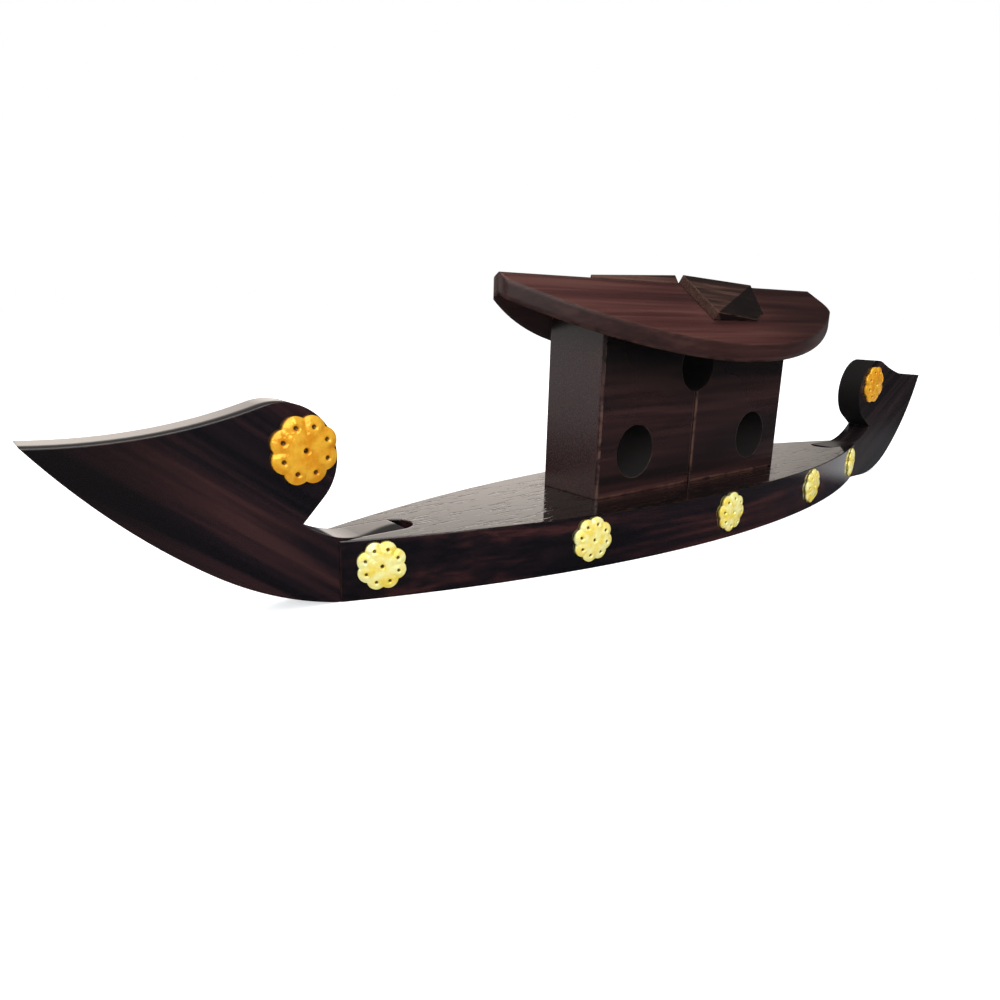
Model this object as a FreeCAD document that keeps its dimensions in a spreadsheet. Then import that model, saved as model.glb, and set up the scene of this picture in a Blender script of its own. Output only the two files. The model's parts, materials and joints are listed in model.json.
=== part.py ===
"""Wooden houseboat incense burner: a lens-shaped hull plank with a sawn board let into each end,
a cabin of two bored blocks under a gable of two D-shaped planks, and stamped brass flowers.

Frame: millimetres, +X from bow to stern, +Z up, origin under the middle of the hull plank.
"""
import FreeCAD, Part
import math
import os
import Sketcher

V = FreeCAD.Vector
START, END, CENTRE = 1, 2, 3
ORIGIN = (-1, 1)
Z_AXIS = V(0, 0, 1)

DRIVING = {
    # hull plank
    "hull_length": 204.0,
    "hull_width": 44.6,
    "hull_end_width": 8.4,
    "hull_height": 12.5,
    "slot_length": 18.5,
    # end boards: reach is measured outward from the end of the plank, height from the table
    "board_thickness": 7.8,
    "tongue_length": 15.0,
    "cove_start": 5.0,
    "bow_tip_reach": 49.6,
    "bow_tip_height": 35.4,
    "bow_head_reach": 10.6,
    "bow_head_height": 29.0,
    "bow_head_radius": 10.8,
    "bow_sweep_radius": 96.0,
    "bow_notch_reach": 7.1,
    "bow_notch_height": 17.0,
    "bow_keel_start": 0.5,
    "bow_keel_lift": 12.7,
    "bow_keel_radius": 65.0,
    "bow_belly_reach": 23.9,
    "stern_tip_reach": 45.2,
    "stern_tip_height": 35.5,
    "stern_head_reach": 9.4,
    "stern_head_height": 31.0,
    "stern_head_radius": 10.8,
    "stern_sweep_radius": 72.0,
    "stern_notch_reach": 9.8,
    "stern_notch_height": 18.2,
    "stern_keel_start": 8.5,
    "stern_keel_lift": 0.0,
    "stern_keel_radius": 27.4,
    "stern_belly_reach": 27.0,
    # cabin blocks
    "cabin_fore_end": 37.2,
    "cabin_aft_end": 39.4,
    "cabin_joint": 1.7,
    "joint_gap": 0.8,
    "cabin_width": 18.9,
    "cabin_top": 56.0,
    "corner_easing": 0.6,
    "window_diameter": 13.1,
    "window_height": 23.2,
    "fore_window_offset": 24.2,
    "aft_window_offset": 25.3,
    "porthole_height": 43.6,
    # roof
    "ridge_height": 64.2,
    "roof_pitch": 32.6,
    "roof_plank_thickness": 3.6,
    "eave_reach": 23.0,
    "eave_chord": 141.0,
    "eave_middle": 6.6,
    "roof_fore_end": 61.1,
    "roof_aft_end": 64.0,
    "fore_corner_radius": 1.5,
    "aft_corner_radius": 6.0,
    # hatches: positions run aft along the ridge and down the slope
    "hatch_middle": 0.6,
    "hatch_ridge_length": 32.3,
    "hatch_foot_fore": 3.2,
    "hatch_foot_aft": 15.5,
    "hatch_foot_drop": 17.0,
    "hatch_corner_aft": 23.1,
    "hatch_corner_drop": 13.5,
    "hatch_crown_rise": 2.4,
    "hatch_tail_rise": 0.8,
    "hatch_foot_rise": 0.4,
    # brass flowers, on a flower of one unit diameter where they are shares
    "petal_count": 8,
    "petal_sides": 16,
    "hull_flower_diameter": 10.5,
    "head_flower_diameter": 13.2,
    "petal_circle_share": 0.305,
    "petal_radius_share": 0.195,
    "petal_rise_share": 0.1,
    "petal_easing": 0.45,
    "disc_radius_share": 0.36,
    "sheet_share": 0.05,
    "flower_spacing": 47.26,
    "flower_height": 7.0,
    "bow_flower_reach": 6.4,
    "bow_flower_height": 31.0,
    "stern_flower_reach": 7.6,
    "stern_flower_height": 33.4,
    # square cut pins
    "pin_width": 0.6,
    "pin_head_radius": 0.6,
    "pin_head_height": 0.3,
    "pin_length": 3.4,
}

doc = FreeCAD.newDocument("houseboat")
sheet = doc.addObject("Spreadsheet::Sheet", "Dims")
for row, (alias, value) in enumerate(DRIVING.items(), start=1):
    sheet.set("A%d" % row, alias)
    sheet.set("B%d" % row, str(value))
    sheet.setAlias("B%d" % row, alias)
doc.recompute()


def size(alias):
    """Value of one driving dimension."""
    return float(sheet.get(alias))


def cell(alias):
    """Expression that reads one driving dimension."""
    return "Dims." + alias


def new_body(label):
    body = doc.addObject("PartDesign::Body", label)
    body.Label = label
    return body


def new_sketch(body, role, name):
    """Sketch on one of the body's own origin planes."""
    sketch = body.newObject("Sketcher::SketchObject", body.Name + "_" + name)
    plane = [item for item in body.Origin.OriginFeatures if item.Role == role][0]
    sketch.AttachmentSupport = [(plane, "")]
    sketch.MapMode = "FlatFace"
    return sketch


def feature(body, kind, name, sketch):
    made = body.newObject("PartDesign::" + kind, body.Name + "_" + name)
    made.Profile = sketch
    return made


def bind(sketch, constraint, expression):
    """Add a dimension and tie it to the driving dimensions."""
    index = sketch.addConstraint(constraint)
    sketch.setExpression("Constraints[%d]" % index, expression)


def locate(sketch, geo, pos, x_expression=None, y_expression=None):
    """Tie a point to the sketch's origin by expressions for its two coordinates."""
    point = sketch.getPoint(geo, pos)
    for kind, value, expression in (
        ("DistanceX", point.x, x_expression),
        ("DistanceY", point.y, y_expression),
    ):
        if expression is None:
            continue
        if value < 0:
            bind(sketch, Sketcher.Constraint(kind, geo, pos, *ORIGIN, -value), "-(%s)" % expression)
        else:
            bind(sketch, Sketcher.Constraint(kind, *ORIGIN, geo, pos, value), expression)


def join(sketch, first, second, tangent=False):
    """Make two end points meet, smoothly where asked; each is a pair of element and end."""
    kind = "Tangent" if tangent else "Coincident"
    sketch.addConstraint(Sketcher.Constraint(kind, *first, *second))


def line(sketch, start, end):
    return sketch.addGeometry(Part.LineSegment(V(*start), V(*end)), False)


def arc(sketch, centre, radius, start, end):
    """Arc that runs counter-clockwise between two points on its circle."""
    first = math.atan2(start[1] - centre[1], start[0] - centre[0])
    last = math.atan2(end[1] - centre[1], end[0] - centre[0])
    circle = Part.Circle(V(*centre), Z_AXIS, radius)
    return sketch.addGeometry(Part.ArcOfCircle(circle, first, last), False)


def polygon(sketch, points):
    """Closed run of straight lines; returns the elements in order."""
    sides = [line(sketch, a, b) for a, b in zip(points, points[1:] + points[:1])]
    for side, following in zip(sides, sides[1:] + sides[:1]):
        join(sketch, (side, END), (following, START))
    return sides


def even_polygon(sketch, sides, radius, radius_expression, along=0.0, along_expression="0"):
    """Even-sided regular polygon centred on the sketch's x axis, with no corner on either axis."""
    turns = [360.0 * (index + 0.5) / sides for index in range(sides)]
    corners = [(along + radius * math.cos(math.radians(turn)), radius * math.sin(math.radians(turn)))
               for turn in turns]
    for side, turn in zip(polygon(sketch, corners), turns):
        locate(sketch, side, START, "%s + %s * cos(%r deg)" % (along_expression, radius_expression, turn),
               "%s * sin(%r deg)" % (radius_expression, turn))


def faceted_solid(rings):
    """Closed solid from its flat faces, each given as a ring of corners."""
    faces = [Part.Face(Part.makePolygon(ring + ring[:1])) for ring in rings]
    return Part.makeSolid(Part.makeShell(faces))


def cut_checked(body, pocket):
    """Recompute a cut and make sure that it removed something."""
    before = pocket.BaseFeature.Shape.Volume
    doc.recompute()
    if pocket.Shape.Volume > before - 1e-3:
        raise RuntimeError("nothing removed by " + pocket.Name)


def edges_where(shape, test):
    """Names of the edges whose middle point and curve pass a test."""
    return [
        "Edge%d" % (index + 1)
        for index, edge in enumerate(shape.Edges)
        if test(edge, edge.valueAt((edge.FirstParameter + edge.LastParameter) / 2))
    ]


def ease(body, base, names, alias):
    """Chamfer the named edges of a feature by a driving dimension."""
    made = body.newObject("PartDesign::Chamfer", body.Name + "_eased")
    made.Base = (base, names)
    made.Size = size(alias)
    made.setExpression("Size", cell(alias))
    return made


def hull_side_radius():
    """Radius of the plank's side, an arc through both ends and the widest place."""
    rise = (size("hull_width") - size("hull_end_width")) / 2
    half = size("hull_length") / 2
    return (half * half + rise * rise) / (2 * rise)


HULL_SIDE_RADIUS = (
    "((Dims.hull_length / 2) ^ 2 + ((Dims.hull_width - Dims.hull_end_width) / 2) ^ 2)"
    " / (Dims.hull_width - Dims.hull_end_width)"
)


def hull_plank():
    """Lens-shaped plank with a round-ended slot sawn into each end."""
    body = new_body("hull_plank")
    half, end = size("hull_length") / 2, size("hull_end_width") / 2
    radius = hull_side_radius()
    offset = radius - size("hull_width") / 2
    plan = new_sketch(body, "XY_Plane", "plan")
    near = arc(plan, (0, offset), radius, (-half, -end), (half, -end))
    stern = line(plan, (half, -end), (half, end))
    far = arc(plan, (0, -offset), radius, (half, end), (-half, end))
    bow = line(plan, (-half, end), (-half, -end))
    for first, second in (((near, END), (stern, START)), ((stern, END), (far, START)),
                          ((far, END), (bow, START)), ((bow, END), (near, START))):
        join(plan, first, second)
    half_x, half_y = "Dims.hull_length / 2", "Dims.hull_end_width / 2"
    locate(plan, stern, START, half_x, "-" + half_y)
    locate(plan, stern, END, half_x, half_y)
    locate(plan, bow, START, "-" + half_x, half_y)
    locate(plan, bow, END, "-" + half_x, "-" + half_y)
    bind(plan, Sketcher.Constraint("Radius", near, radius), HULL_SIDE_RADIUS)
    bind(plan, Sketcher.Constraint("Radius", far, radius), HULL_SIDE_RADIUS)
    pad = feature(body, "Pad", "pad", plan)
    pad.setExpression("Length", cell("hull_height"))
    doc.recompute()

    slots = new_sketch(body, "XY_Plane", "slots")
    slot_half = size("board_thickness") / 2
    round_at = half - size("slot_length") + slot_half
    past_end = half + slot_half
    for side in (-1, 1):
        low, high = (side * round_at, -slot_half), (side * round_at, slot_half)
        mouth_low, mouth_high = (side * past_end, -slot_half), (side * past_end, slot_half)
        ends = (high, low) if side > 0 else (low, high)
        inner = arc(slots, (side * round_at, 0), slot_half, *ends)
        lower = line(slots, low, mouth_low)
        mouth = line(slots, mouth_low, mouth_high)
        upper = line(slots, mouth_high, high)
        join(slots, (inner, END if side > 0 else START), (lower, START), tangent=True)
        join(slots, (lower, END), (mouth, START))
        join(slots, (mouth, END), (upper, START))
        join(slots, (upper, END), (inner, START if side > 0 else END), tangent=True)
        sign = "" if side > 0 else "-"
        reach = sign + "(Dims.hull_length / 2 - Dims.slot_length + Dims.board_thickness / 2)"
        locate(slots, inner, CENTRE, reach)
        slots.addConstraint(Sketcher.Constraint("PointOnObject", inner, CENTRE, -1))
        locate(slots, mouth, START, sign + "(Dims.hull_length + Dims.board_thickness) / 2",
               "-Dims.board_thickness / 2")
        slots.addConstraint(Sketcher.Constraint("Vertical", mouth))
        slots.addConstraint(Sketcher.Constraint("Horizontal", lower))
    pocket = feature(body, "Pocket", "slots_cut", slots)
    pocket.Type = "ThroughAll"
    pocket.Reversed = True
    cut_checked(body, pocket)

    for index, (spot, outward) in enumerate(hull_flower_spots()):
        drill(body, "pilot_%d" % (index + 1), spot, outward)
    return body


def drill(body, name, spot, outward):
    """Blind square hole that one driven pin fills, from a point on the surface inward."""
    hole = body.newObject("PartDesign::SubtractiveBox", body.Name + "_" + name)
    hole.setExpression("Length", cell("pin_width"))
    hole.setExpression("Width", cell("pin_width"))
    hole.setExpression("Height", "2 * Dims.pin_length")
    facing = FreeCAD.Rotation(Z_AXIS, outward)
    half = size("pin_width") / 2
    hole.Placement = FreeCAD.Placement(spot + facing.multVec(V(-half, -half, -size("pin_length"))), facing)
    cut_checked(body, hole)


def tangent_point_on_circle(centre, radius, outside, side):
    """Point where a line from an outside point touches a circle, on the chosen side."""
    dx, dy = outside[0] - centre[0], outside[1] - centre[1]
    turn = math.atan2(dy, dx) + side * math.acos(radius / math.hypot(dx, dy))
    return (centre[0] + radius * math.cos(turn), centre[1] + radius * math.sin(turn))


def sweep_centre(head, head_radius, tip, sweep_radius):
    """Centre of the hollow top sweep: it passes the tip and touches the head from outside."""
    dx, dy = tip[0] - head[0], tip[1] - head[1]
    apart = math.hypot(dx, dy)
    reach = head_radius + sweep_radius
    along = (apart ** 2 + reach ** 2 - sweep_radius ** 2) / (2 * apart)
    above = math.sqrt(reach ** 2 - along ** 2)
    return (
        head[0] + (along * dx - above * dy) / apart,
        head[1] + (along * dy + above * dx) / apart,
    )


def end_board(label, which, outward):
    """Sawn end board: tongue, keel curve, stem, tip, hollow top sweep, round head, notch and cove."""
    body = new_body(label)
    deck, tongue, cove_start = size("hull_height"), size("tongue_length"), size("cove_start")
    tip = (size(which + "_tip_reach"), size(which + "_tip_height"))
    head = (size(which + "_head_reach"), size(which + "_head_height"))
    head_radius, sweep_radius = size(which + "_head_radius"), size(which + "_sweep_radius")
    notch = (size(which + "_notch_reach"), size(which + "_notch_height"))
    keel_radius, belly_reach = size(which + "_keel_radius"), size(which + "_belly_reach")
    keel_start, lift = size(which + "_keel_start"), math.radians(size(which + "_keel_lift"))

    root = (keel_start, 0)
    keel_centre = (keel_start - keel_radius * math.sin(lift), keel_radius * math.cos(lift))
    belly_depth = math.sqrt(keel_radius ** 2 - (belly_reach - keel_centre[0]) ** 2)
    belly = (belly_reach, keel_centre[1] - belly_depth)
    inward = ((keel_centre[0] - belly[0]) / keel_radius, (keel_centre[1] - belly[1]) / keel_radius)
    to_tip = (tip[0] - belly[0], tip[1] - belly[1])
    stem_radius = (to_tip[0] ** 2 + to_tip[1] ** 2) / (2 * (inward[0] * to_tip[0] + inward[1] * to_tip[1]))
    stem_centre = (belly[0] + stem_radius * inward[0], belly[1] + stem_radius * inward[1])
    sweep = sweep_centre(head, head_radius, tip, sweep_radius)
    share = head_radius / (head_radius + sweep_radius)
    brow = (head[0] + share * (sweep[0] - head[0]), head[1] + share * (sweep[1] - head[1]))
    cheek = tangent_point_on_circle(head, head_radius, notch, -1)
    step, climb = notch[0] + cove_start, notch[1] - deck
    cove_radius = (step ** 2 + climb ** 2) / (2 * climb)
    cove_foot = (-cove_start, deck)

    outline = new_sketch(body, "XZ_Plane", "outline")
    keel = arc(outline, keel_centre, keel_radius, root, belly)
    stem = arc(outline, stem_centre, stem_radius, belly, tip)
    top = arc(outline, sweep, sweep_radius, brow, tip)
    crown = arc(outline, head, head_radius, brow, cheek)
    jaw = line(outline, cheek, notch)
    cove = arc(outline, (-cove_start, deck + cove_radius), cove_radius, cove_foot, notch)
    tongue_top = line(outline, cove_foot, (-tongue, deck))
    tongue_end = line(outline, (-tongue, deck), (-tongue, 0))
    tongue_foot = line(outline, (-tongue, 0), root)
    join(outline, (tongue_foot, END), (keel, START))
    join(outline, (keel, END), (stem, START), tangent=True)
    join(outline, (stem, END), (top, END))
    join(outline, (top, START), (crown, START), tangent=True)
    join(outline, (crown, END), (jaw, START), tangent=True)
    join(outline, (jaw, END), (cove, END))
    join(outline, (cove, START), (tongue_top, START), tangent=True)
    join(outline, (tongue_top, END), (tongue_end, START))
    join(outline, (tongue_end, END), (tongue_foot, START))
    outline.addConstraint(Sketcher.Constraint("PointOnObject", keel, START, -1))
    outline.addConstraint(Sketcher.Constraint("Horizontal", tongue_foot))
    outline.addConstraint(Sketcher.Constraint("Horizontal", tongue_top))
    outline.addConstraint(Sketcher.Constraint("Vertical", tongue_end))
    locate(outline, tongue_end, START, "-Dims.tongue_length", cell("hull_height"))
    locate(outline, cove, START, "-Dims.cove_start")
    locate(outline, keel, START, cell(which + "_keel_start"))
    locate(outline, keel, END, cell(which + "_belly_reach"))
    locate(outline, keel, CENTRE, "Dims.{0}_keel_start - Dims.{0}_keel_radius * sin(Dims.{0}_keel_lift * 1 deg)"
           .format(which))
    locate(outline, stem, END, cell(which + "_tip_reach"), cell(which + "_tip_height"))
    locate(outline, crown, CENTRE, cell(which + "_head_reach"), cell(which + "_head_height"))
    locate(outline, jaw, END, cell(which + "_notch_reach"), cell(which + "_notch_height"))
    bind(outline, Sketcher.Constraint("Radius", keel, keel_radius), cell(which + "_keel_radius"))
    bind(outline, Sketcher.Constraint("Radius", crown, head_radius), cell(which + "_head_radius"))
    bind(outline, Sketcher.Constraint("Radius", top, sweep_radius), cell(which + "_sweep_radius"))
    pad = feature(body, "Pad", "pad", outline)
    pad.SideType = "Symmetric"
    pad.setExpression("Length", cell("board_thickness"))
    doc.recompute()
    for name, side in (("near", -1), ("far", 1)):
        spot = V(size(which + "_flower_reach"), side * size("board_thickness") / 2,
                 size(which + "_flower_height"))
        drill(body, name + "_pilot", spot, V(0, side, 0))
    body.Placement.Rotation = FreeCAD.Rotation(Z_AXIS, 0 if outward > 0 else 180)
    body.setExpression("Placement.Base.x", "%d * Dims.hull_length / 2" % outward)
    return body


def cabin_block(label, outer, inner, window):
    """Bored block: a window through it, a half-round porthole cut at the joint, bevels under the roof."""
    body = new_body(label)
    low, high = size("hull_height"), size("cabin_top")
    outer_x, inner_x, window_x = (sign * size_of for sign, size_of, _ in (outer, inner, window))
    joint_x = -size("cabin_joint")
    radius = size("window_diameter") / 2
    porthole = size("porthole_height")
    side = 1 if outer_x > inner_x else -1
    lift = math.sqrt(radius ** 2 - (inner_x - joint_x) ** 2)
    face = new_sketch(body, "XZ_Plane", "face")
    notch_low, notch_high = (inner_x, porthole - lift), (inner_x, porthole + lift)
    corners = [(outer_x, low), (outer_x, high), (inner_x, high), notch_high]
    outer_side = line(face, corners[0], corners[1])
    top = line(face, corners[1], corners[2])
    upper = line(face, corners[2], corners[3])
    ends = (notch_low, notch_high) if side > 0 else (notch_high, notch_low)
    cut = arc(face, (joint_x, porthole), radius, *ends)
    lower = line(face, notch_low, (inner_x, low))
    foot = line(face, (inner_x, low), (outer_x, low))
    join(face, (outer_side, END), (top, START))
    join(face, (top, END), (upper, START))
    join(face, (upper, END), (cut, END if side > 0 else START))
    join(face, (cut, START if side > 0 else END), (lower, START))
    join(face, (lower, END), (foot, START))
    join(face, (foot, END), (outer_side, START))
    for element in (outer_side, upper, lower):
        face.addConstraint(Sketcher.Constraint("Vertical", element))
    for element in (top, foot):
        face.addConstraint(Sketcher.Constraint("Horizontal", element))
    locate(face, outer_side, END, outer[2], cell("cabin_top"))
    locate(face, foot, START, inner[2], cell("hull_height"))
    locate(face, upper, START, inner[2])
    locate(face, cut, CENTRE, "-Dims.cabin_joint", cell("porthole_height"))
    bind(face, Sketcher.Constraint("Radius", cut, radius), "Dims.window_diameter / 2")
    hole = face.addGeometry(Part.Circle(V(window_x, size("window_height")), Z_AXIS, radius), False)
    locate(face, hole, CENTRE, window[2], cell("window_height"))
    bind(face, Sketcher.Constraint("Radius", hole, radius), "Dims.window_diameter / 2")
    pad = feature(body, "Pad", "pad", face)
    pad.SideType = "Symmetric"
    pad.setExpression("Length", cell("cabin_width"))
    doc.recompute()

    corner_edges = edges_where(pad.Shape, lambda edge, middle: abs(middle.x - outer_x) < 1e-6
                               and abs(edge.tangentAt(edge.FirstParameter).z) > 0.9)
    ease(body, pad, corner_edges, "corner_easing")
    doc.recompute()

    bevel = new_sketch(body, "YZ_Plane", "bevel")
    half = size("cabin_width") / 2
    pitch = math.tan(math.radians(size("roof_pitch")))
    under_ridge = size("ridge_height") - size("roof_plank_thickness") / math.cos(math.radians(size("roof_pitch")))
    seat_y = (under_ridge - high) / pitch
    past = half + radius
    underside = "(Dims.ridge_height - Dims.roof_plank_thickness / cos(Dims.roof_pitch * 1 deg))"
    seat = "(%s - Dims.cabin_top) / tan(Dims.roof_pitch * 1 deg)" % underside
    past_expression = "(Dims.cabin_width + Dims.window_diameter) / 2"
    past_height = "%s - (%s) * tan(Dims.roof_pitch * 1 deg)" % (underside, past_expression)
    for way in (-1, 1):
        points = [(way * seat_y, high), (way * past, under_ridge - past * pitch), (way * past, high)]
        slope, outer_edge, _ = polygon(bevel, points)
        sign = "" if way > 0 else "-"
        locate(bevel, slope, START, sign + "(" + seat + ")", cell("cabin_top"))
        locate(bevel, slope, END, sign + past_expression, past_height)
        locate(bevel, outer_edge, END, sign + past_expression, cell("cabin_top"))
    pocket = feature(body, "Pocket", "roof_seat", bevel)
    pocket.Type = "ThroughAll"
    pocket.SideType = "Symmetric"
    cut_checked(body, pocket)
    return body


def roof_plank(label, way):
    """Sloping plank: a section with a mitre at the ridge, sawn to a D with eased corners in plan."""
    body = new_body(label)
    pitch = math.radians(size("roof_pitch"))
    ridge, reach = size("ridge_height"), size("eave_reach")
    deep = size("roof_plank_thickness") / math.cos(pitch)
    drop = reach * math.tan(pitch)
    fore, aft = -size("roof_fore_end"), size("roof_aft_end")
    section = new_sketch(body, "YZ_Plane", "section")
    points = [(0, ridge), (way * reach, ridge - drop), (way * reach, ridge - drop - deep), (0, ridge - deep)]
    upper, eave, lower, mitre = polygon(section, points)
    sign = "" if way > 0 else "-"
    thick = "Dims.roof_plank_thickness / cos(Dims.roof_pitch * 1 deg)"
    eave_height = "Dims.ridge_height - Dims.eave_reach * tan(Dims.roof_pitch * 1 deg)"
    section.addConstraint(Sketcher.Constraint("PointOnObject", upper, START, -2))
    section.addConstraint(Sketcher.Constraint("Vertical", eave))
    section.addConstraint(Sketcher.Constraint("Vertical", mitre))
    locate(section, upper, START, None, cell("ridge_height"))
    locate(section, upper, END, sign + "Dims.eave_reach", eave_height)
    locate(section, lower, START, None, "%s - %s" % (eave_height, thick))
    locate(section, lower, END, None, "Dims.ridge_height - %s" % thick)
    pad = feature(body, "Pad", "pad", section)
    pad.SideType = "Symmetric"
    pad.setExpression("Length", "2 * Dims.eave_chord")
    doc.recompute()

    middle, half = size("eave_middle"), size("eave_chord") / 2
    radius = (half ** 2 + reach ** 2) / (2 * reach)
    hub = (middle, way * (reach - radius))
    fore_r, aft_r = size("fore_corner_radius"), size("aft_corner_radius")

    def corner(end, corner_radius):
        """Centre of a corner round, where it meets the end and where it meets the eave."""
        inset = end - corner_radius if end > 0 else end + corner_radius
        away = math.sqrt((radius - corner_radius) ** 2 - (inset - middle) ** 2)
        centre = (inset, hub[1] + way * away)
        share = radius / (radius - corner_radius)
        meet = (hub[0] + share * (centre[0] - hub[0]), hub[1] + share * (centre[1] - hub[1]))
        return centre, (end, centre[1]), meet

    plan = new_sketch(body, "XY_Plane", "plan")
    past_ridge = -way * fore_r
    fore_centre, fore_meet, fore_eave = corner(fore, fore_r)
    aft_centre, aft_meet, aft_eave = corner(aft, aft_r)
    turns = (lambda a, b: (a, b)) if way < 0 else (lambda a, b: (b, a))
    first, last = (START, END) if way < 0 else (END, START)
    fore_end = line(plan, (fore, past_ridge), fore_meet)
    fore_round = arc(plan, fore_centre, fore_r, *turns(fore_meet, fore_eave))
    eave_arc = arc(plan, hub, radius, *turns(fore_eave, aft_eave))
    aft_round = arc(plan, aft_centre, aft_r, *turns(aft_eave, aft_meet))
    aft_end = line(plan, aft_meet, (aft, past_ridge))
    back = line(plan, (aft, past_ridge), (fore, past_ridge))
    join(plan, (fore_end, END), (fore_round, first), tangent=True)
    join(plan, (fore_round, last), (eave_arc, first), tangent=True)
    join(plan, (eave_arc, last), (aft_round, first), tangent=True)
    join(plan, (aft_round, last), (aft_end, START), tangent=True)
    join(plan, (aft_end, END), (back, START))
    join(plan, (back, END), (fore_end, START))
    plan.addConstraint(Sketcher.Constraint("Vertical", fore_end))
    plan.addConstraint(Sketcher.Constraint("Vertical", aft_end))
    back_sign = "-" if way > 0 else ""
    locate(plan, back, START, cell("roof_aft_end"), back_sign + "Dims.fore_corner_radius")
    locate(plan, back, END, "-Dims.roof_fore_end", back_sign + "Dims.fore_corner_radius")
    eave_radius = "((Dims.eave_chord / 2) ^ 2 + Dims.eave_reach ^ 2) / (2 * Dims.eave_reach)"
    hub_sign = "-" if way > 0 else ""
    locate(plan, eave_arc, CENTRE, cell("eave_middle"), "%s(%s - Dims.eave_reach)" % (hub_sign, eave_radius))
    bind(plan, Sketcher.Constraint("Radius", eave_arc, radius), eave_radius)
    bind(plan, Sketcher.Constraint("Radius", fore_round, fore_r), cell("fore_corner_radius"))
    bind(plan, Sketcher.Constraint("Radius", aft_round, aft_r), cell("aft_corner_radius"))
    outer_x, outer_y = 2 * half, 2 * reach
    frame = polygon(plan, [(-outer_x, -outer_y), (outer_x, -outer_y), (outer_x, outer_y), (-outer_x, outer_y)])
    for side, x_sign, y_sign in zip(frame, ("-", "", "", "-"), ("-", "-", "", "")):
        locate(plan, side, START, x_sign + "Dims.eave_chord", y_sign + "2 * Dims.eave_reach")
    pocket = feature(body, "Pocket", "plan_cut", plan)
    pocket.Type = "ThroughAll"
    pocket.SideType = "Symmetric"
    cut_checked(body, pocket)
    return body


def hatch(label, turn):
    """Faceted wedge on the slope: a flat fore facet and a falling aft facet that meet in a slanting hip."""
    pitch = math.radians(size("roof_pitch"))
    long, drop = size("hatch_ridge_length"), size("hatch_foot_drop")
    tail = V(long, 0, size("hatch_tail_rise"))
    crown = V(0, 0, size("hatch_crown_rise"))
    foot_fore = V(-size("hatch_foot_fore"), drop, size("hatch_crown_rise"))
    foot_aft = V(size("hatch_foot_aft"), drop, size("hatch_foot_rise"))
    normal = (foot_fore - tail).cross(foot_aft - tail)
    corner = V(size("hatch_corner_aft"), size("hatch_corner_drop"), 0)
    corner.z = tail.z - (normal.x * (corner.x - tail.x) + normal.y * (corner.y - tail.y)) / normal.z
    top = [crown, tail, corner, foot_aft, foot_fore]

    def on_roof(point):
        """From along, down and out of the slope to the boat's frame, on the near side."""
        return V(
            point.x,
            -point.y * math.cos(pitch) - point.z * math.sin(pitch),
            size("ridge_height") - point.y * math.sin(pitch) + point.z * math.cos(pitch),
        )

    upper = [on_roof(point) for point in top]
    lower = [on_roof(V(point.x, point.y, 0)) for point in top]
    rings = [lower, [upper[0], upper[1], upper[4]], [upper[1], upper[2], upper[3], upper[4]]]
    for index in range(len(top)):
        after = (index + 1) % len(top)
        rings.append([lower[index], lower[after], upper[after], upper[index]])
    made = doc.addObject("Part::Feature", label)
    made.Label = label
    made.Shape = faceted_solid(rings)
    made.Placement = FreeCAD.Placement(V(-size("hatch_middle"), 0, 0), FreeCAD.Rotation(Z_AXIS, turn))
    return made


def flower(label, diameter, spot, outward):
    """Stamped flower: a thin disc with a hole for its pin and a ring of raised, eased petals."""
    body = new_body(label)

    def share(name):
        return size(diameter) * size(name + "_share")

    def share_of(name):
        return "Dims.%s * Dims.%s_share" % (diameter, name)

    disc = new_sketch(body, "XY_Plane", "disc")
    even_polygon(disc, int(size("petal_count")), share("disc_radius"), share_of("disc_radius"))
    even_polygon(disc, 4, size("pin_width") / math.sqrt(2), "Dims.pin_width / sqrt(2)")
    pad = feature(body, "Pad", "sheet", disc)
    pad.setExpression("Length", share_of("sheet"))
    doc.recompute()

    petal = new_sketch(body, "XY_Plane", "petal")
    even_polygon(petal, int(size("petal_sides")), share("petal_radius"), share_of("petal_radius"),
                 share("petal_circle"), share_of("petal_circle"))
    raised = feature(body, "Pad", "lobe", petal)
    raised.setExpression("Length", share_of("petal_rise"))
    doc.recompute()

    ring = body.newObject("PartDesign::PolarPattern", body.Name + "_petals")
    ring.Originals = [raised]
    ring.Axis = ([item for item in body.Origin.OriginFeatures if item.Role == "Z_Axis"][0], [""])
    ring.Angle = 360
    ring.setExpression("Occurrences", cell("petal_count"))
    body.Tip = ring
    doc.recompute()
    top = share("petal_rise")
    ease(body, ring, edges_where(ring.Shape, lambda edge, middle: abs(middle.z - top) < 1e-6), "petal_easing")
    doc.recompute()
    body.Placement = FreeCAD.Placement(spot, FreeCAD.Rotation(Z_AXIS, outward))
    return body


def hull_flower_spots():
    """Five places along each side of the hull, with the way that the side faces there."""
    radius = hull_side_radius()
    hub = radius - size("hull_width") / 2
    spots = []
    for side in (-1, 1):
        for step in range(-2, 3):
            along = step * size("flower_spacing")
            outward = V(along, side * math.sqrt(radius ** 2 - along ** 2), 0) / radius
            spot = outward * radius - V(0, side * hub, 0) + V(0, 0, size("flower_height"))
            spots.append((spot, outward))
    return spots


def head_flower_spots():
    """The near and the far face of the bow's head, then of the stern's."""
    spots = []
    for way, which in ((-1, "bow"), (1, "stern")):
        for side in (-1, 1):
            along = way * (size("hull_length") / 2 + size(which + "_flower_reach"))
            spot = V(along, side * size("board_thickness") / 2, size(which + "_flower_height"))
            spots.append((spot, V(0, side, 0)))
    return spots


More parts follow.
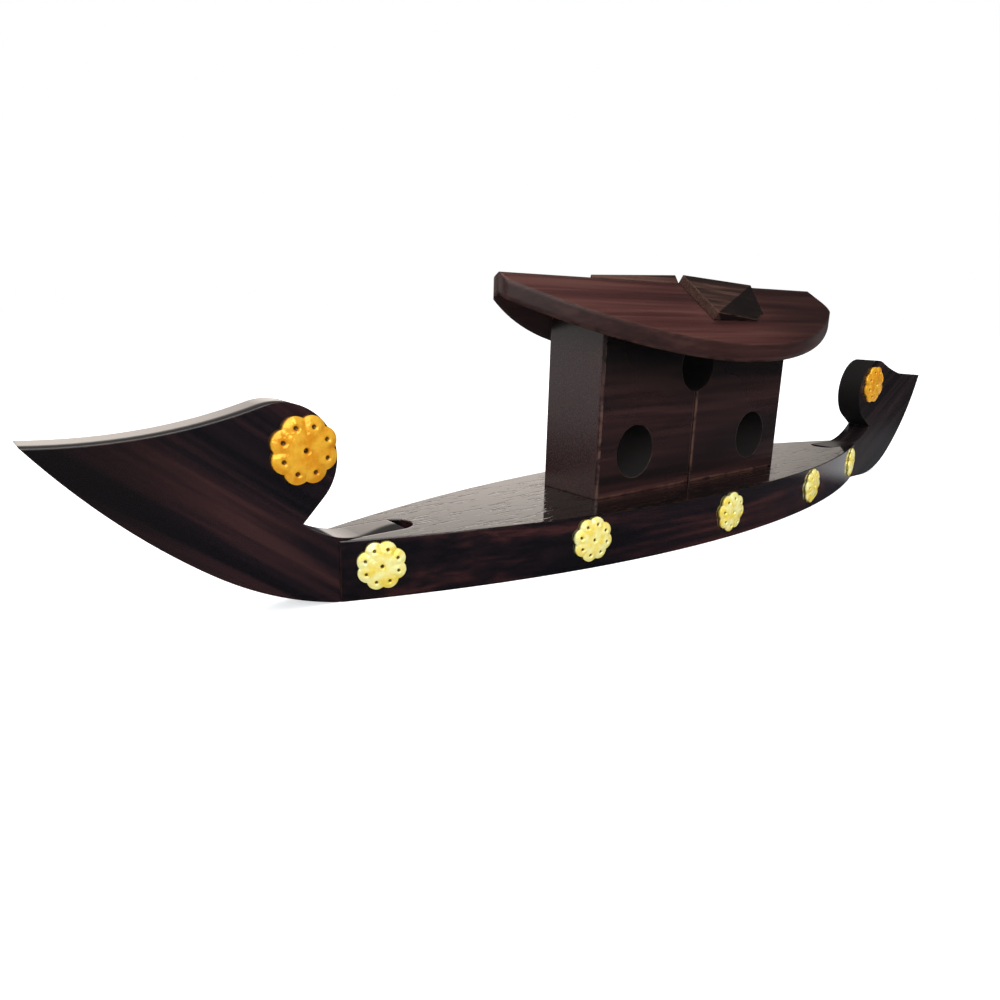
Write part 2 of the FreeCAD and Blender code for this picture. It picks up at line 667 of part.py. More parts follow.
def pins(label, places):
    """One driven pin per flower: a square shank and a low faceted head that holds the flower's disc."""
    width, head, length = size("pin_width"), size("pin_head_radius"), size("pin_length")
    sides = int(size("petal_count"))
    made = []
    for (spot, outward), seat in places:
        shank = Part.makeBox(width, width, length + seat, V(-width / 2, -width / 2, -length))
        rim = [V(head * math.cos(turn), head * math.sin(turn), seat)
               for turn in (2 * math.pi * index / sides for index in range(sides))]
        top = V(0, 0, seat + size("pin_head_height"))
        cap = faceted_solid([rim] + [[a, b, top] for a, b in zip(rim, rim[1:] + rim[:1])])
        pin = shank.fuse(cap).removeSplitter()
        pin.Placement = FreeCAD.Placement(spot, FreeCAD.Rotation(Z_AXIS, outward))
        made.append(pin)
    group = doc.addObject("Part::Feature", label)
    group.Label = label
    group.Shape = Part.makeCompound(made)
    return group


def build():
    """Make every sub-part and return them in order."""
    joint_fore = "-(Dims.cabin_joint + Dims.joint_gap / 2)"
    joint_aft = "-(Dims.cabin_joint - Dims.joint_gap / 2)"
    half_gap = size("joint_gap") / 2
    parts = [
        hull_plank(),
        end_board("bow_board", "bow", -1),
        end_board("stern_board", "stern", 1),
        cabin_block(
            "fore_cabin_block",
            (-1, size("cabin_fore_end"), "-Dims.cabin_fore_end"),
            (-1, size("cabin_joint") + half_gap, joint_fore),
            (-1, size("fore_window_offset"), "-Dims.fore_window_offset"),
        ),
        cabin_block(
            "aft_cabin_block",
            (1, size("cabin_aft_end"), "Dims.cabin_aft_end"),
            (-1, size("cabin_joint") - half_gap, joint_aft),
            (1, size("aft_window_offset"), "Dims.aft_window_offset"),
        ),
        roof_plank("near_roof_plank", -1),
        roof_plank("far_roof_plank", 1),
        hatch("near_roof_hatch", 0),
        hatch("far_roof_hatch", 180),
    ]
    places = []
    names = [side + "_hull_rosette_%d" % place for side in ("near", "far") for place in range(1, 6)]
    for name, (spot, outward) in zip(names, hull_flower_spots()):
        parts.append(flower(name, "hull_flower_diameter", spot, outward))
        places.append(((spot, outward), size("hull_flower_diameter") * size("sheet_share")))
    names = [side + "_%s_rosette" % which for which in ("bow", "stern") for side in ("near", "far")]
    for name, (spot, outward) in zip(names, head_flower_spots()):
        parts.append(flower(name, "head_flower_diameter", spot, outward))
        places.append(((spot, outward), size("head_flower_diameter") * size("sheet_share")))
    parts.append(pins("rosette_pins", places))
    return parts


parts = build()
doc.recompute()
for item in doc.Objects:
    if "Invalid" in item.State or "Error" in item.State:
        raise RuntimeError("failed: " + item.Name)
for part in parts:
    if part.Shape.isNull() or not part.Shape.isValid():
        raise RuntimeError("bad shape: " + part.Label)
os.makedirs("parts", exist_ok=True)
for part in parts:
    part.Shape.exportStep("parts/%s.step" % part.Label)
    box = part.Shape.BoundBox
    print("%-22s %9.1f mm3  x %.1f..%.1f  y %.1f..%.1f  z %.1f..%.1f" % (
        part.Label, part.Shape.Volume, box.XMin, box.XMax, box.YMin, box.YMax, box.ZMin, box.ZMax))
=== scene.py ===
"""Rosewood boat incense burner: lacquered planks, a roofed cabin and pinned gold flowers."""
import json
import math

import bpy
import numpy as np
from mathutils import Matrix, Vector


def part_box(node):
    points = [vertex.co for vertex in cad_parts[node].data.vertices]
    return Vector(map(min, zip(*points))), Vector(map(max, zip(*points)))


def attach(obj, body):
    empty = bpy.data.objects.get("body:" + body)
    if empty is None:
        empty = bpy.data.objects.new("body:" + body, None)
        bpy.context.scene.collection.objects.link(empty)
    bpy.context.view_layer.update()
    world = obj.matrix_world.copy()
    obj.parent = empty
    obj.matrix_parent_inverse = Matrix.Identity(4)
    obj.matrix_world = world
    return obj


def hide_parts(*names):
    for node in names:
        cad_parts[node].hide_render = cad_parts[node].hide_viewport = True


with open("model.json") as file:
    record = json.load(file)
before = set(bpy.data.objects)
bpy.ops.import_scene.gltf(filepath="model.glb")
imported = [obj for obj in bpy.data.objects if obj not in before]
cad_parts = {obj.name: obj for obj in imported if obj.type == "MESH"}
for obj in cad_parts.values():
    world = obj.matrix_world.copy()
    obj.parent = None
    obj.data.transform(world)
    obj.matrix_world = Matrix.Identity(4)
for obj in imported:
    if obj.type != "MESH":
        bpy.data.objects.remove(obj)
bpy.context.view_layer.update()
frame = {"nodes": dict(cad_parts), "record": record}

MM = 0.001
WHITE = (1.0, 1.0, 1.0, 1.0)
# Near black, for darker wood and for painted shade.
SHADE_AND_DARK_WOOD = (0.004, 0.003, 0.003, 1.0)
RUBBED = (0.13, 0.06, 0.042, 1.0)
# Painted shade down in the flowers' piercings and pin dimples.
HOLLOW_SHADE = (0.06, 0.025, 0.004, 1.0)
NO_SHIFT = (0.0, 0.0, 0.0)

# Places on the boat that the woods' masks read.
HULL_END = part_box("hull_plank")[0].x
DECK_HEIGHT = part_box("hull_plank")[1].z
BOARD_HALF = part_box("bow_board")[1].y
TONGUE_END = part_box("bow_board")[1].x
BOW_PALE, BOW_DARK = -118 * MM, -146 * MM
NOTCH_LOW, NOTCH_HIGH = 17 * MM, 19 * MM
CABIN_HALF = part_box("fore_cabin_block")[1].y
CABIN_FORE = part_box("fore_cabin_block")[0].x
AFT_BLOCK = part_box("aft_cabin_block")[0]
BORE_RADIUS = 6.55 * MM
SCUFF_FADES, SCUFF_ENDS = 34 * MM, 46 * MM
# Cabin heights for the painted shade under the roof: on the long faces, and just under the eaves all round.
CABIN_SHADE_LOW, CABIN_SHADE_HIGH = 26 * MM, 47 * MM
EAVES_LOW, EAVES_HIGH = 46 * MM, 55 * MM
# Along the roof: where the eaves' painted shade eases from its forward share, and where the roof darkens
# aft.
EAVES_FORE, EAVES_AFT = -45 * MM, 10 * MM
ROOF_PALE, ROOF_DARK = 0.0, 40 * MM

# Hatches: the roof's middle for their half turn, and the hip line from the ridge's tail down the slope.
HATCH_MIDDLE = 0.6 * MM
HIP_TAIL = 33.3 * MM
HIP_SLANT = 2.339

# Camera, from the photograph's vanishing directions.
EYE = (-0.163286, -0.127976, 0.05669)
YAW = 0.683
PITCH = 0.255
ROLL = 0.026
LENS = 26.506
SENSOR = 36.0

# Lamps: place, aim, width in metres, power in watts and colour.
LAMPS = {
    "overhead_softbox": ((-0.15, 0.25, 1.1), (0.0, 0.0, 0.02), 1.3, 7.5, (1.0, 0.98, 0.95)),
    "front_softbox": ((-0.5, -0.9, 0.85), (0.0, 0.0, 0.03), 1.7, 18.5, (1.0, 0.99, 0.97)),
}

# Stamped flowers, as shares of a flower's diameter.
PETALS = 8
PETAL_CIRCLE = 0.305
PETAL_RADIUS = 0.195
FLOWER_SHEET = 0.05
FLOWER_RISE = 0.075
CREASE_DEPTH = 0.035
CREASE_WIDTH = 0.045
PIERCING_CIRCLE = 0.345
PIERCING_RADIUS = 0.040
PIERCING_DEPTH = 0.05
DIMPLE_RADIUS = 0.042
DIMPLE_DEPTH = 0.07
STEPS_PER_PETAL = 16
FLOWER_RINGS = 44

# Flowers in a hull side's row, and how far each is turned, in degrees.
ROW_FLOWERS = 5
ROW_TURN, ROW_TURN_STEP = 18, 7
HEAD_TURN = 22.5

# Floor: half its width, and its lit patches, which fade in along X and along Y between these places.
FLOOR_HALF = 3.0
STERN_PATCH = ((0.085, 0.12), (-0.075, -0.03))
BOW_PATCH = ((-0.12, -0.2), (0.02, 0.12))

# Grain: how it is turned on a board, and cells per metre along and across it.
GRAIN_ALONG_HULL = (0.0, 0.0, 0.0)
GRAIN_DOWN_BOW = (0.0, -0.6435, 0.0)
GRAIN_DOWN_STERN = (0.0, 0.55, 0.0)
BAND_CELLS = (7.0, 110.0, 130.0)
STREAK_CELLS = (13.0, 700.0, 800.0)
SPECKLE_CELLS = (2600.0, 2600.0, 2600.0)
CLOUD_CELLS = (40.0, 55.0, 60.0)
CHIP_CELLS = (260.0, 420.0, 420.0)
PORE_CELLS = (150.0, 1250.0, 1400.0)
GILT_CELLS = (420.0, 420.0, 420.0)
CRUMPLE_CELLS = (900.0, 900.0, 900.0)


def add(tree, kind, inputs=None, **settings):
    """New node with its settings; an input is another node's output or a plain value."""
    made = tree.nodes.new(kind)
    for name, value in settings.items():
        setattr(made, name, value)
    for key, value in (inputs or {}).items():
        if isinstance(value, bpy.types.NodeSocket):
            tree.links.new(value, made.inputs[key])
        else:
            made.inputs[key].default_value = value
    return made


def number(tree, operation, first, second=0.0, third=0.0):
    """Result of one arithmetic step on numbers."""
    made = add(tree, "ShaderNodeMath", {0: first, 1: second, 2: third}, operation=operation)
    return made.outputs[0]


def product(tree, first, second):
    """One share of another."""
    return number(tree, "MULTIPLY", first, second)


def larger(tree, first, second):
    """The larger of two shares."""
    return number(tree, "MAXIMUM", first, second)


def axes_of(tree, vector):
    """X, Y and Z of a vector."""
    return add(tree, "ShaderNodeSeparateXYZ", {0: vector}).outputs


def off_middle(tree, value):
    """Distance from the boat's middle plane, the same to either side."""
    return number(tree, "ABSOLUTE", value)


def flat_normal(tree):
    """Direction that the mesh's own face looks in."""
    return add(tree, "ShaderNodeNewGeometry").outputs["True Normal"]


def stretch(tree, value, low, high, to_low=0.0, to_high=1.0):
    """Value carried from low..high to to_low..to_high with smooth ends, and held there."""
    made = add(tree, "ShaderNodeMapRange", {"Value": value, "From Min": low, "From Max": high,
                                            "To Min": to_low, "To Max": to_high},
               interpolation_type="SMOOTHSTEP")
    return made.outputs["Result"]


def blend_colours(tree, share, first, second):
    """Second colour laid over the first by a share from 0 to 1."""
    made = add(tree, "ShaderNodeMix", {0: share, 6: first, 7: second}, data_type="RGBA")
    return made.outputs[2]


def ramp(tree, value, stops):
    """Colour read from (place, colour) stops."""
    made = add(tree, "ShaderNodeValToRGB", {"Fac": value})
    row = made.color_ramp.elements
    while len(row) < len(stops):
        row.new(0.5)
    for element, (place, colour) in zip(row, stops):
        element.position = place
        element.color = (*colour, 1.0)
    return made.outputs["Color"]


def grain_noise(tree, place, cells, detail=3.0, distortion=0.0):
    """Noise drawn out along the wood by its cells per metre along and across the grain."""
    drawn = add(tree, "ShaderNodeMapping", {"Vector": place, "Scale": cells})
    made = add(tree, "ShaderNodeTexNoise", {"Vector": drawn.outputs["Vector"], "Scale": 1.0,
                                            "Detail": detail, "Distortion": distortion})
    return made.outputs["Fac"]


def new_material(name):
    """Empty material with its tree and a Principled shader."""
    material = bpy.data.materials.new(name)
    material.use_nodes = True
    tree = material.node_tree
    tree.nodes.clear()
    shader = add(tree, "ShaderNodeBsdfPrincipled")
    add(tree, "ShaderNodeOutputMaterial", {"Surface": shader.outputs["BSDF"]})
    return material, tree, shader


def lacquered_wood(name, turn, stops, gloss, sheen, coat=0.0, offset=NO_SHIFT, wear=0.2, fine=0.4,
                   ease=0.5 * MM, pored=None, dull_shade=None, darker_wood_and_shade=None, scuffed=None):
    """Dark rosewood under lacquer.

    Broad bands and fine streaks drawn out along the grain choose the tone, a dense speckle takes their
    place where the face cuts the grain, and eased edges carry a paler rubbed line where the bent normal
    leaves the flat one. Four masks give a share of the surface from its place on the boat: pored wood has
    short open flecks; the dull share is without lacquer and near black, painted shade in the cabin's bores,
    in the gap beside the bow's tongue and on the stern's sawn edges; the darker share is partly darker wood
    and partly painted shade; scuffed wood is rubbed pale in patches.
    """
    material, tree, shader = new_material(name)
    here = add(tree, "ShaderNodeTexCoord").outputs["Object"]
    turned = add(tree, "ShaderNodeMapping", {"Vector": here, "Rotation": turn, "Location": offset})
    place = turned.outputs["Vector"]
    flat = flat_normal(tree)
    bands = grain_noise(tree, place, BAND_CELLS, 4.0, 0.9)
    streaks = grain_noise(tree, place, STREAK_CELLS, 4.0, 0.4)
    speckle = stretch(tree, grain_noise(tree, place, SPECKLE_CELLS, 2.0), 0.2, 0.8, 0.49, 0.63)
    tone = number(tree, "MULTIPLY_ADD", bands, 1.0 - fine, product(tree, streaks, fine))
    cut = stretch(tree, number(tree, "ABSOLUTE", axes_of(tree, flat)["X"]), 0.75, 0.95)
    tone = add(tree, "ShaderNodeMix", {0: cut, 2: tone, 3: speckle}).outputs[0]
    colour = ramp(tree, stretch(tree, tone, 0.36, 0.66), stops)

    eased = add(tree, "ShaderNodeBevel", {"Radius": ease}, samples=6).outputs["Normal"]
    along = add(tree, "ShaderNodeVectorMath", {0: eased, 1: flat}, operation="DOT_PRODUCT").outputs["Value"]
    edge = stretch(tree, along, 0.99, 0.86)
    if scuffed:
        edge = larger(tree, edge, scuffed(tree, here))
    chips = stretch(tree, grain_noise(tree, place, CHIP_CELLS), 0.38, 0.60)
    rubbed = product(tree, product(tree, edge, chips), wear)
    cloud = grain_noise(tree, place, CLOUD_CELLS, 2.0)
    rough = stretch(tree, cloud, 0.3, 0.75, gloss, gloss + 0.06)
    rough = number(tree, "ADD", rough, product(tree, rubbed, 0.3))
    # Darker wood, and painted shade where the mask stands for shade.
    if darker_wood_and_shade:
        colour = blend_colours(tree, darker_wood_and_shade(tree, here), colour, SHADE_AND_DARK_WOOD)
    colour = blend_colours(tree, rubbed, colour, RUBBED)
    shader.inputs["Coat Weight"].default_value = coat
    # Dull, near black share without lacquer: painted shade in the cabin's bores, the bow's tongue gap and
    # the stern's sawn edges.
    if dull_shade:
        dull_dark_share = dull_shade(tree, here)
        colour = blend_colours(tree, product(tree, dull_dark_share, 0.9), colour, SHADE_AND_DARK_WOOD)
        rough = larger(tree, rough, product(tree, dull_dark_share, 0.85))
        if coat:
            left = number(tree, "MULTIPLY_ADD", dull_dark_share, -coat, coat)
            tree.links.new(left, shader.inputs["Coat Weight"])
    tree.links.new(colour, shader.inputs["Base Color"])
    tree.links.new(rough, shader.inputs["Roughness"])

    relief = product(tree, streaks, 0.04)
    if pored:
        flecks = stretch(tree, grain_noise(tree, place, PORE_CELLS, 2.0), 0.57, 0.66)
        relief = number(tree, "SUBTRACT", relief, product(tree, flecks, pored(tree, here)))
    bump = add(tree, "ShaderNodeBump", {"Height": relief, "Strength": 0.5, "Distance": 0.17 * MM,
                                        "Normal": eased})
    tree.links.new(bump.outputs["Normal"], shader.inputs["Normal"])
    tree.links.new(bump.outputs["Normal"], shader.inputs["Coat Normal"])
    shader.inputs["Coat Roughness"].default_value = 0.05
    shader.inputs["Specular IOR Level"].default_value = sheen
    return material


def deck_top(tree, here):
    """1 on the hull plank's upper face only."""
    return stretch(tree, axes_of(tree, here)["Z"], DECK_HEIGHT - 0.2 * MM, DECK_HEIGHT - 0.05 * MM)


def deck_painted_shade(tree, here):
    """Painted shade: the deck's colour darkened nearly to black all over, so that the cabin's dark
    reflection in its lacquer reads deep.
    """
    return product(tree, deck_top(tree, here), 0.95)


def bore_shade(tree, here):
    """Painted shade inside the cabin's three round holes: 1 nearer to a hole's axis than its radius."""
    side_view = add(tree, "ShaderNodeVectorMath", {0: here, 1: (1.0, 0.0, 1.0)}, operation="MULTIPLY")
    seen = side_view.outputs["Vector"]
    found = 0.0
    for opening in frame["record"]["physics"]["openings"]:
        low, high = opening["box_m"]
        middle = ((low[0] + high[0]) / 2, 0.0, (low[2] + high[2]) / 2)
        away = add(tree, "ShaderNodeVectorMath", {0: seen, 1: middle}, operation="DISTANCE")
        hole = stretch(tree, away.outputs["Value"], BORE_RADIUS + 0.15 * MM, BORE_RADIUS)
        found = larger(tree, hole, found)
    return found


def joint_gap_shade(tree, here):
    """Share of the bow board's edge that is dull, without lacquer and near black: along the near arris, and
    beside the tongue.

    The strip beside the tongue is painted shade for a dark gap that widens toward the slot's end.
    """
    axes = axes_of(tree, here)
    sideways = number(tree, "ABSOLUTE", axes_of(tree, flat_normal(tree))["Y"])
    arris = stretch(tree, axes["X"], HULL_END - 4.0 * MM, HULL_END, 2.2 * MM, -0.4 * MM)
    gap = stretch(tree, axes["X"], HULL_END + 1.0 * MM, TONGUE_END, -0.4 * MM, 4.2 * MM)
    from_face = number(tree, "ADD", axes["Y"], BOARD_HALF)
    inside = number(tree, "SUBTRACT", larger(tree, arris, gap), from_face)
    on_edge = stretch(tree, sideways, 0.6, 0.3)
    return product(tree, stretch(tree, inside, -1.5 * MM, 0.8 * MM), on_edge)


def sawn_edge_shade(tree, here):
    """1 on the stern board's sawn edges above the deck, between its two faces and over the notch: dull, and
    near black with painted shade.
    """
    axes = axes_of(tree, here)
    between = stretch(tree, off_middle(tree, axes["Y"]), BOARD_HALF, BOARD_HALF - 0.1 * MM)
    return product(tree, between, stretch(tree, axes["Z"], NOTCH_LOW, NOTCH_HIGH))


def under_roof_shade(tree, here):
    """Painted shade of the roof on the cabin's long faces from the windows' height up, and just under the
    roof all round.
    """
    axes = axes_of(tree, here)
    outside = stretch(tree, off_middle(tree, axes["Y"]), CABIN_HALF - 0.25 * MM, CABIN_HALF - 0.1 * MM)
    long_face = product(tree, outside, stretch(tree, axes["Z"], CABIN_SHADE_LOW, CABIN_SHADE_HIGH, 0.0, 0.8))
    return larger(tree, long_face, stretch(tree, axes["Z"], EAVES_LOW, EAVES_HIGH, 0.0, 0.8))


def cabin_corners(tree, here):
    """Share of pale scuffs on the cabin's long faces.

    They follow the fore corners, fading out toward the top, the aft block's edge at the joint and the foot.
    """
    axes = axes_of(tree, here)
    outside = stretch(tree, off_middle(tree, axes["Y"]), CABIN_HALF - 0.55 * MM, CABIN_HALF - 0.15 * MM)
    corner = product(tree, stretch(tree, axes["X"], CABIN_FORE + 0.9 * MM, CABIN_FORE + 0.4 * MM),
                     stretch(tree, axes["Z"], SCUFF_ENDS, SCUFF_FADES))
    beyond = stretch(tree, axes["X"], AFT_BLOCK.x - 0.2 * MM, AFT_BLOCK.x)
    at_joint = stretch(tree, axes["X"], AFT_BLOCK.x + 1.0 * MM, AFT_BLOCK.x + 0.4 * MM)
    joint = product(tree, beyond, at_joint)
    foot = stretch(tree, axes["Z"], AFT_BLOCK.z + 0.9 * MM, AFT_BLOCK.z + 0.4 * MM)
    scuff = larger(tree, corner, larger(tree, joint, foot))
    return product(tree, product(tree, scuff, outside), 0.7)


def dark_tip(tree, here):
    """Darker heartwood toward the bow's tip."""
    return stretch(tree, axes_of(tree, here)["X"], BOW_PALE, BOW_DARK, 0.0, 0.75)


def roof_aft_dark_and_eave_shade(tree, here):
    """Darker toward the roof's aft end, and painted shade on its eaves and undersides, most of all forward.
    """
    x = axes_of(tree, here)["X"]
    upward = axes_of(tree, flat_normal(tree))["Z"]
    aft = stretch(tree, x, ROOF_PALE, ROOF_DARK, 0.0, 0.6)
    eave_shade = product(tree, stretch(tree, upward, 0.5, 0.2),
                   stretch(tree, x, EAVES_FORE, EAVES_AFT, 0.6, 0.5))
    return larger(tree, aft, eave_shade)


def aft_facet_shade(tree, here):
    """Share of painted shade on the hatches' aft facet, past the hip line that falls from the ridge's tail.

    The far hatch is the near one turned half a turn about the roof's middle.
    """
    axes = axes_of(tree, here)
    way = product(tree, number(tree, "SIGN", axes["Y"]), -1.0)
    aft = product(tree, number(tree, "ADD", axes["X"], HATCH_MIDDLE), way)
    past = number(tree, "ADD", aft, product(tree, off_middle(tree, axes["Y"]), HIP_SLANT))
    return stretch(tree, past, HIP_TAIL - 0.3 * MM, HIP_TAIL + 0.3 * MM, 0.0, 0.9)


def stamped_gold(name, shade, bright, metal):
    """Thin gilt sheet: a tone clouded by handling, a crumpled skin, and painted shade, nearly black, down
    in the piercings and the pin's dimple.
    """
    material, tree, shader = new_material(name)
    place = add(tree, "ShaderNodeTexCoord").outputs["Object"]
    cloud = grain_noise(tree, place, GILT_CELLS)
    crumple = grain_noise(tree, place, CRUMPLE_CELLS, 2.0)
    depth = add(tree, "ShaderNodeAttribute", attribute_name="dip").outputs["Fac"]
    colour = blend_colours(tree, stretch(tree, cloud, 0.35, 0.65), shade, bright)
    # Painted shade in the shallow dips of the piercings and the pin's dimple.
    colour = blend_colours(tree, stretch(tree, depth, 0.3, 0.85, 0.0, 0.95), colour, HOLLOW_SHADE)
    tree.links.new(colour, shader.inputs["Base Color"])
    tree.links.new(stretch(tree, crumple, 0.3, 0.7, 0.12, 0.26), shader.inputs["Roughness"])
    bump = add(tree, "ShaderNodeBump", {"Height": crumple, "Strength": 0.75, "Distance": 0.3 * MM})
    tree.links.new(bump.outputs["Normal"], shader.inputs["Normal"])
    shader.inputs["Metallic"].default_value = metal
    return material


def mesh_piece(name, rings, material):
    """Closed piece from a stack of rings, an array (ring, step, xyz), with a point at each end."""
    count, steps = rings.shape[:2]
    low, high = rings[0].mean(axis=0), rings[-1].mean(axis=0)
    points = np.vstack([rings.reshape(-1, 3), low, high])
    ring, step = np.meshgrid(np.arange(count - 1), np.arange(steps), indexing="ij")
    after = (step + 1) % steps
    quads = np.stack([ring * steps + step, ring * steps + after,
                      (ring + 1) * steps + after, (ring + 1) * steps + step], axis=-1).reshape(-1, 4)
    around = np.arange(steps)
    onward = (around + 1) % steps
    first = np.stack([np.full(steps, count * steps), onward, around], axis=-1)
    top = (count - 1) * steps
    last = np.stack([np.full(steps, count * steps + 1), top + around, top + onward], axis=-1)
    mesh = bpy.data.meshes.new(name)
    mesh.from_pydata(points.tolist(), [], quads.tolist() + first.tolist() + last.tolist())
    mesh.polygons.foreach_set("use_smooth", np.ones(len(mesh.polygons), bool))
    mesh.materials.append(material)
    piece = bpy.data.objects.new(name, mesh)
    bpy.context.scene.collection.objects.link(piece)
    return piece


def node_points(name):
    """Corners of a CAD node as an array (corner, xyz)."""
    mesh = frame["nodes"][name].data
    flat = np.empty(len(mesh.vertices) * 3)
    mesh.vertices.foreach_get("co", flat)
    return flat.reshape(-1, 3)


def flower_seat(name):
    """Middle of a flower's back, its outward direction and its diameter.

    The outward direction is the one along which the node's corners spread least.
    """
    points = node_points(name)
    middle = (points.min(axis=0) + points.max(axis=0)) / 2
    outward = np.linalg.svd(points - points.mean(axis=0), full_matrices=False)[2][2]
    outward *= np.sign(outward[1] * middle[1])
    outward[2] = 0.0
    outward /= np.linalg.norm(outward)
    depth = (points - middle) @ outward
    seat = middle + outward * depth.min()
    return seat, outward, np.ptp(points[:, 2]) / (2 * (PETAL_CIRCLE + PETAL_RADIUS))


def flower(name, material, phase):
    """Stamped eight-petal flower.

    The rim is the union of eight circles: radius c cos(a) + sqrt(r^2 - c^2 sin(a)^2) at angle a from
    the nearest petal's axis. Over the sheet it is a pillow, rise (1 - share^4) at a share of the way
    out to the rim, less a bell-shaped crease between two petals and a steep bell at each piercing and
    at the dimple that seats the pin's head.
    """
    seat, outward, diameter = flower_seat(name)
    steps = PETALS * STEPS_PER_PETAL
    turn = np.linspace(0, 2 * np.pi, steps, endpoint=False)
    wedge = 2 * np.pi / PETALS
    off_axis = (turn + wedge / 2) % wedge - wedge / 2
    aside = PETAL_CIRCLE * np.sin(off_axis)
    rim = PETAL_CIRCLE * np.cos(off_axis) + np.sqrt(PETAL_RADIUS ** 2 - aside ** 2)
    share = np.linspace(1.0, 0.03, FLOWER_RINGS)[:, None]
    radius = share * rim
    from_piercing = np.hypot(radius * np.cos(off_axis) - PIERCING_CIRCLE, radius * np.sin(off_axis))
    piercing = np.exp(-(from_piercing / PIERCING_RADIUS) ** 4)
    dimple = np.exp(-(radius / DIMPLE_RADIUS) ** 4)
    to_crease = radius * (wedge / 2 - np.abs(off_axis))
    crease = np.exp(-(to_crease / CREASE_WIDTH) ** 2) * share ** 3
    pillow = 1 - share ** 4
    height = FLOWER_SHEET + (FLOWER_RISE - CREASE_DEPTH * crease) * pillow
    height = height - PIERCING_DEPTH * piercing - DIMPLE_DEPTH * dimple
    radius = np.vstack([0.5 * rim, rim, radius])
    height = np.vstack([np.zeros_like(rim), np.zeros_like(rim), height])
    dip = np.vstack([np.zeros((2, steps)), piercing + dimple])
    up = np.array((0.0, 0.0, 1.0))
    across = np.cross(up, outward)
    spin = turn + phase
    spoke = np.cos(spin)[None, :, None] * across + np.sin(spin)[None, :, None] * up
    rings = seat + diameter * (radius[..., None] * spoke + height[..., None] * outward)
    piece = mesh_piece("gold_" + name, rings, material)
    values = np.concatenate([dip.ravel(), [0.0, 1.0]]).astype(np.float32)
    piece.data.attributes.new("dip", "FLOAT", "POINT").data.foreach_set("value", values)
    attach(piece, "root")
    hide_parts(name)
    return piece


def lit_patch(tree, place, along, across):
    """Share of a patch of the floor that fades in along X and along Y."""
    return product(tree, stretch(tree, place["X"], *along), stretch(tree, place["Y"], *across))


def backdrop():
    """Flat square floor: white to the eye, with the boat's shadow on it.

    In the lacquer it mirrors as a dark table, with a lit patch off the stern and one off the bow.
    """
    lines = 5
    steps = np.linspace(-FLOOR_HALF, FLOOR_HALF, lines)
    x, y = np.meshgrid(steps, steps, indexing="ij")
    points = np.stack([x, y, np.zeros_like(x)], axis=-1).reshape(-1, 3)
    row, column = np.meshgrid(np.arange(lines - 1), np.arange(lines - 1), indexing="ij")
    corner = (row * lines + column).ravel()
    faces = np.stack([corner, corner + lines, corner + lines + 1, corner + 1], axis=-1)
    mesh = bpy.data.meshes.new("floor")
    mesh.from_pydata(points.tolist(), [], faces.tolist())
    floor = bpy.data.objects.new("floor", mesh)
    bpy.context.scene.collection.objects.link(floor)
    material, tree, shader = new_material("floor_white")
    shader.inputs["Roughness"].default_value = 0.9
    shader.inputs["Specular IOR Level"].default_value = 0.0
    path = add(tree, "ShaderNodeLightPath").outputs
    place = axes_of(tree, add(tree, "ShaderNodeTexCoord").outputs["Object"])
    gloss = larger(tree, path["Is Glossy Ray"], path["Is Transmission Ray"])
    off_stern = lit_patch(tree, place, *STERN_PATCH)
    off_bow = lit_patch(tree, place, *BOW_PATCH)
    lit = number(tree, "MULTIPLY_ADD", off_stern, 0.3, product(tree, off_bow, 0.8))
    shown = larger(tree, product(tree, path["Is Camera Ray"], 0.64), product(tree, gloss, lit))
    ground = blend_colours(tree, gloss, (0.8, 0.8, 0.8, 1.0), (0.03, 0.03, 0.036, 1.0))
    tree.links.new(ground, shader.inputs["Base Color"])
    shader.inputs["Emission Color"].default_value = (0.96, 0.98, 1.0, 1.0)
    tree.links.new(shown, shader.inputs["Emission Strength"])
    mesh.materials.append(material)


def lamp(name, place, aim, size, power, colour):
    """Round soft lamp that looks from its place to its aim."""
    light = bpy.data.lights.new(name, "AREA")
    light.shape = "DISK"
    light.size = size
    light.energy = power
    light.color = colour
    lit = bpy.data.objects.new(name, light)
    bpy.context.scene.collection.objects.link(lit)
    lit.location = place
    lit.rotation_euler = (Vector(aim) - Vector(place)).to_track_quat("-Z", "Y").to_euler()


